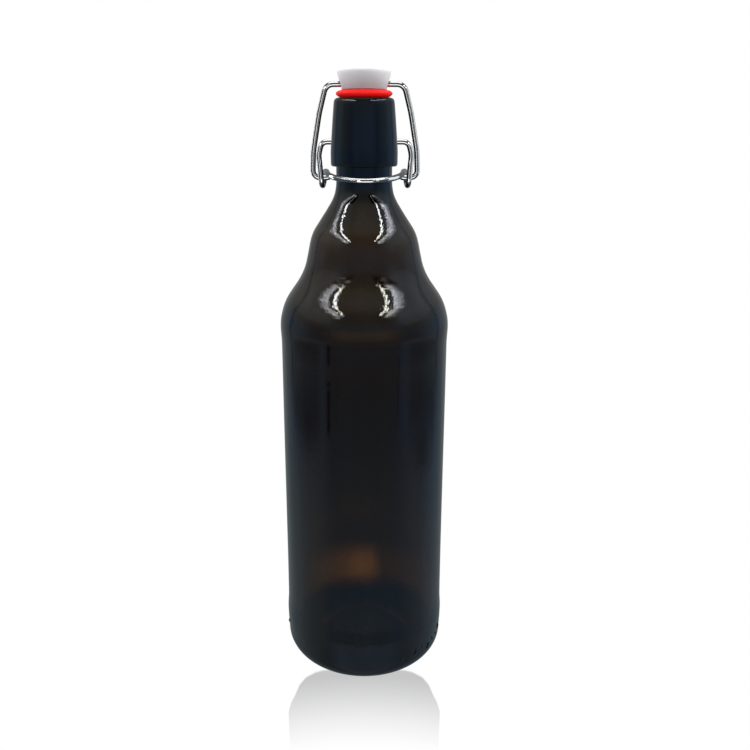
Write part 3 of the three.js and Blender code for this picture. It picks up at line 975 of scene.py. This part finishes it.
# thin dark frame of the tent's opening
frame_line = (aaz.bell(117.5, 3.6) * el.smooth(-24.0, -15.0)).max(el.bell(-19.0, 3.2) * aaz.band(64.0, 117.5, 7.0))
tent = vec(w, "SCALE", tent, 1.0 - frame_line * 0.42)
# soft light on the stopper and its ring: from above, from the sides and behind
soft = 0.12 + dz.smooth(0.15, 1.0) * 1.72 + dx * dx * 2.5 + dy.smooth(-0.1, 1.0) * 0.9 + dx.smooth(0.0, 1.0) * 0.40
soft_rgb = vec(w, "SCALE", (1.0, 0.985, 1.01), soft)

path = w.nodes.new("ShaderNodeLightPath")
is_cam = Sock(w, path.outputs["Is Camera Ray"])
is_diff = Sock(w, path.outputs["Is Diffuse Ray"])
sky = blend(w, is_diff, tent, soft_rgb)
sky = blend(w, is_cam, sky, (1.0, 1.0, 1.0))
bg = w.nodes.new("ShaderNodeBackground")
put(w, bg.inputs["Color"], sky)
wo = w.nodes.new("ShaderNodeOutputWorld")
w.links.new(bg.outputs[0], wo.inputs["Surface"])

# ------------------------------------------------------------------------ lamps
def reflected_panel(name, x0, x1, y0, y1, z, colour, level):
    """A lamp over the bottle that is only ever seen as a reflection. level
    gives the brightness from mm positions (x, y)."""
    m = bpy.data.materials.new(name)
    m.use_nodes = True
    t = m.node_tree
    t.nodes.clear()
    g = t.nodes.new("ShaderNodeNewGeometry")
    x, y, _ = split(t, vec(t, "SCALE", Sock(t, g.outputs["Position"]), 1000.0))
    e = t.nodes.new("ShaderNodeEmission")
    put(t, e.inputs["Color"], colour)
    put(t, e.inputs["Strength"], level(t, x, y))
    tr = t.nodes.new("ShaderNodeBsdfTransparent")
    add = t.nodes.new("ShaderNodeAddShader")
    t.links.new(e.outputs[0], add.inputs[0])
    t.links.new(tr.outputs[0], add.inputs[1])
    o = t.nodes.new("ShaderNodeOutputMaterial")
    t.links.new(add.outputs[0], o.inputs["Surface"])
    m.cycles.emission_sampling = "NONE"
    me = bpy.data.meshes.new(name)
    me.from_pydata([(x0 * MM, y0 * MM, z * MM), (x1 * MM, y0 * MM, z * MM), (x1 * MM, y1 * MM, z * MM), (x0 * MM, y1 * MM, z * MM)], [], [(0, 1, 2, 3)])
    me.materials.append(m)
    ob = bpy.data.objects.new(name, me)
    scene.collection.objects.link(ob)
    ob.visible_camera = ob.visible_diffuse = ob.visible_transmission = ob.visible_shadow = ob.visible_volume_scatter = False
    return ob


def brushed(t, x, y):
    """Uneven, streaky brightness of the cloth beside the two lamps."""
    fine = noise(t, join(t, x * 0.16, y * 0.016, 0.0 * x), 1.0, 3.0, 0.75)
    slow = noise(t, join(t, x * 0.02, y * 0.03, 0.0 * x), 1.0, 2.0, 0.6)
    return 0.22 + fine.smooth(0.34, 0.66) * 1.0 * (0.35 + slow.smooth(0.30, 0.65) * 0.85)


reflected_panel("lamp_left", -182, -164, -320, 80, 420, (0.93, 0.96, 1.0),
                lambda t, x, y: x.band(-180, -166, 1.5) * y.band(-285, -40, 5.0) * 26.0)
reflected_panel("lamp_right", 119, 137, -320, 80, 420, (0.91, 0.95, 1.0),
                lambda t, x, y: x.band(121, 135, 1.5) * y.band(-285, -40, 5.0) * 26.0)
reflected_panel("glow_left", -365, -205, -360, 140, 421, (0.93, 0.94, 1.0),
                lambda t, x, y: (-x).smooth(206, 222) * (1.0 - (-x).smooth(216, 292)) * y.band(-300, 20, 35.0) * brushed(t, x, y) * 11.5)
reflected_panel("glow_right", 165, 310, -360, 140, 421, (0.88, 0.92, 1.0),
                lambda t, x, y: x.smooth(166, 182) * (1.0 - x.smooth(178, 262)) * y.band(-300, 20, 35.0) * brushed(t, x, y) * 12.5)


def linked_area(name, place, aim, wide, tall, radiance, colour, receivers, blockers=None):
    """An area lamp that lights only the pieces named."""
    ld = bpy.data.lights.new(name, "AREA")
    ld.shape = "RECTANGLE"
    ld.size, ld.size_y = wide, tall
    ld.color = colour
    ld.energy = radiance * math.pi * wide * tall
    ob = bpy.data.objects.new(name, ld)
    ob.location = place
    d = Vector(aim) - Vector(place)
    ob.rotation_euler = d.to_track_quat("-Z", "Y").to_euler()
    scene.collection.objects.link(ob)
    group = bpy.data.collections.new(name + "_receives")
    for r in receivers:
        group.objects.link(r)
    ob.light_linking.receiver_collection = group
    if blockers:
        stops = bpy.data.collections.new(name + "_blocked_by")
        for b in blockers:
            stops.objects.link(b)
        ob.light_linking.blocker_collection = stops
    ob.visible_camera = False
    return ob


WIRES = [bail, lever]
linked_area("wire_top", (0.0, 0.0, 0.62), (0, 0, 0.27), 0.34, 0.40, 5.4, (1, 1, 1), WIRES)
linked_area("wire_low", (0.0, -0.32, 0.125), (0, -0.02, 0.265), 0.30, 0.18, 5.4, (1, 1, 1), WIRES)
linked_area("wire_left", (-0.26, 0.12, 0.30), (0, 0, 0.29), 0.06, 0.30, 9.0, (1, 1, 1), WIRES)
linked_area("wire_right", (0.30, 0.02, 0.30), (0, 0, 0.29), 0.22, 0.30, 3.2, (1, 1, 1), WIRES)
linked_area("wire_front_left", (-0.13, -0.37, 0.34), (0, 0, 0.29), 0.06, 0.30, 7.0, (1, 1, 1), WIRES)
linked_area("wire_front_right", (0.24, -0.30, 0.33), (0, 0, 0.29), 0.05, 0.36, 2.0, (1, 1, 1), WIRES)
linked_area("ring_front", (0.0, -0.40, 0.06), (0, 0, 0.304), 0.34, 0.22, 4.8, (1, 0.95, 0.94), [rubber], [rubber])

# ------------------------------------------------------------------------ floor
fm = bpy.data.materials.new("pale_floor")
fm.use_nodes = True
ft = fm.node_tree
ft.nodes.clear()
fpath = ft.nodes.new("ShaderNodeLightPath")
geo = ft.nodes.new("ShaderNodeNewGeometry")
fpos = Sock(ft, geo.outputs["Position"])
finc = Sock(ft, geo.outputs["Incoming"])
px_, py_, pz_ = split(ft, fpos)
ix_, iy_, iz_ = split(ft, finc)
flat_len = (ix_ * ix_ + iy_ * iy_).sqrt().max(0.0001)
toward = (px_ * ix_ + py_ * iy_) / flat_len * 1000.0   # mm from the axis towards the eye
across = (px_ * iy_ - py_ * ix_).abs() / flat_len * 1000.0
mirror = ramp(ft, toward, 0.0, 100.0, [
    (0, .45), (36, .443), (42.8, .39), (49.1, .335), (55.2, .277), (61.2, .217), (66.9, .161), (72.6, .112), (78, .07), (83.4, .027), (88.7, 0.0)])
# only near the bottle, and starting along a curve like the heel's own outline
edge = ramp(ft, across, 0.0, 60.0, [
    (0, .30), (25, .30), (29.2, .31), (35.2, .343), (39.2, .397), (42.2, .476), (44.4, .52), (45.9, .57), (47.0, .62), (47.9, .74), (48.8, .95), (60, 1.5)])
mirror = mirror * (1.0 - across.smooth(70.0, 95.0)) * (toward - edge * 100.0).smooth(-1.2, 1.2)
# painted pool of light: seen through the amber glass, the floor right behind the bottle glows brightest
behind = -toward
side = (px_ * iy_ - py_ * ix_) / flat_len * -1000.0
patch = behind.smooth(44.0, 50.0) * (1.0 - behind.smooth(78.0, 118.0)) * side.smooth(-44.0, -6.0) * (1.0 - 0.75 * side.smooth(4.5, 11.0)) * (0.62 + 0.60 * side.bell(-1.5, 7.0))
through = 0.22 + patch * 1.75
cam = Sock(ft, fpath.outputs["Is Camera Ray"])
trans = Sock(ft, fpath.outputs["Is Transmission Ray"])
level = blend(ft, trans, (0.22, 0.22, 0.22), join(ft, through, through, 0.22 + patch * 1.35))
level = blend(ft, cam, level, (1.0, 1.0, 1.0))
emit = ft.nodes.new("ShaderNodeEmission")
put(ft, emit.inputs["Color"], level)
clear = ft.nodes.new("ShaderNodeBsdfTransparent")
sheer = ft.nodes.new("ShaderNodeMixShader")
put(ft, sheer.inputs[0], mirror * cam)
ft.links.new(emit.outputs[0], sheer.inputs[1])
ft.links.new(clear.outputs[0], sheer.inputs[2])
mixn = ft.nodes.new("ShaderNodeMixShader")
ft.links.new(geo.outputs["Backfacing"], mixn.inputs[0])
ft.links.new(sheer.outputs[0], mixn.inputs[1])
ft.links.new(clear.outputs[0], mixn.inputs[2])
fo = ft.nodes.new("ShaderNodeOutputMaterial")
ft.links.new(mixn.outputs[0], fo.inputs["Surface"])
fmesh = bpy.data.meshes.new("floor")
S = 4.0
fmesh.from_pydata([(-S, -S, -0.00002), (S, -S, -0.00002), (S, S, -0.00002), (-S, S, -0.00002)], [], [(0, 1, 2, 3)])
fmesh.materials.append(fm)
floor = bpy.data.objects.new("floor", fmesh)
scene.collection.objects.link(floor)
floor.visible_glossy = False
floor.visible_shadow = False

# The polished floor mirrors the foot of the bottle faintly: a plain dark copy
# turned upside down, seen only through the floor from above.
gm = bpy.data.materials.new("floor_mirror_image")
gm.use_nodes = True
gt = gm.node_tree
gt.nodes.clear()
gpath = gt.nodes.new("ShaderNodeLightPath")
ggeo = gt.nodes.new("ShaderNodeNewGeometry")
_, _, gz = split(gt, Sock(gt, ggeo.outputs["Incoming"]))
on = Sock(gt, gpath.outputs["Is Camera Ray"]) * gz._m("GREATER_THAN", gz, 0.0)
ge = gt.nodes.new("ShaderNodeEmission")
put(gt, ge.inputs["Color"], (0.014, 0.018, 0.025))
gc = gt.nodes.new("ShaderNodeBsdfTransparent")
gx = gt.nodes.new("ShaderNodeMixShader")
put(gt, gx.inputs[0], on)
gt.links.new(gc.outputs[0], gx.inputs[1])
gt.links.new(ge.outputs[0], gx.inputs[2])
go_ = gt.nodes.new("ShaderNodeOutputMaterial")
gt.links.new(gx.outputs[0], go_.inputs["Surface"])
gm.cycles.emission_sampling = "NONE"
low = outer_line[(outer_line[:, 1] < 150.0)][::6]
gl = Lathe(np.radians(np.arange(96) * 360 / 96))
gl.build([(0.0, -5.0)] + [(max(r * 1.065, 0.5), -z - 0.1) for r, z in low], lambda j: 0)
image = make_object("floor_mirror_image", gl.verts, gl.faces, [gm], gl.slots)
image.visible_diffuse = image.visible_glossy = image.visible_transmission = image.visible_shadow = image.visible_volume_scatter = False

# ----------------------------------------------------------------------- camera
cd = bpy.data.cameras.new("camera")
cd.lens = 37.2
cd.sensor_width = 36.0
cd.shift_x = 0.0144
cd.clip_start, cd.clip_end = 0.01, 50.0
camera = bpy.data.objects.new("camera", cd)
camera.location = (0.0, -0.3952, 0.2858)
camera.rotation_euler = (math.radians(72.7), 0.0, 0.0)
scene.collection.objects.link(camera)
scene.camera = camera
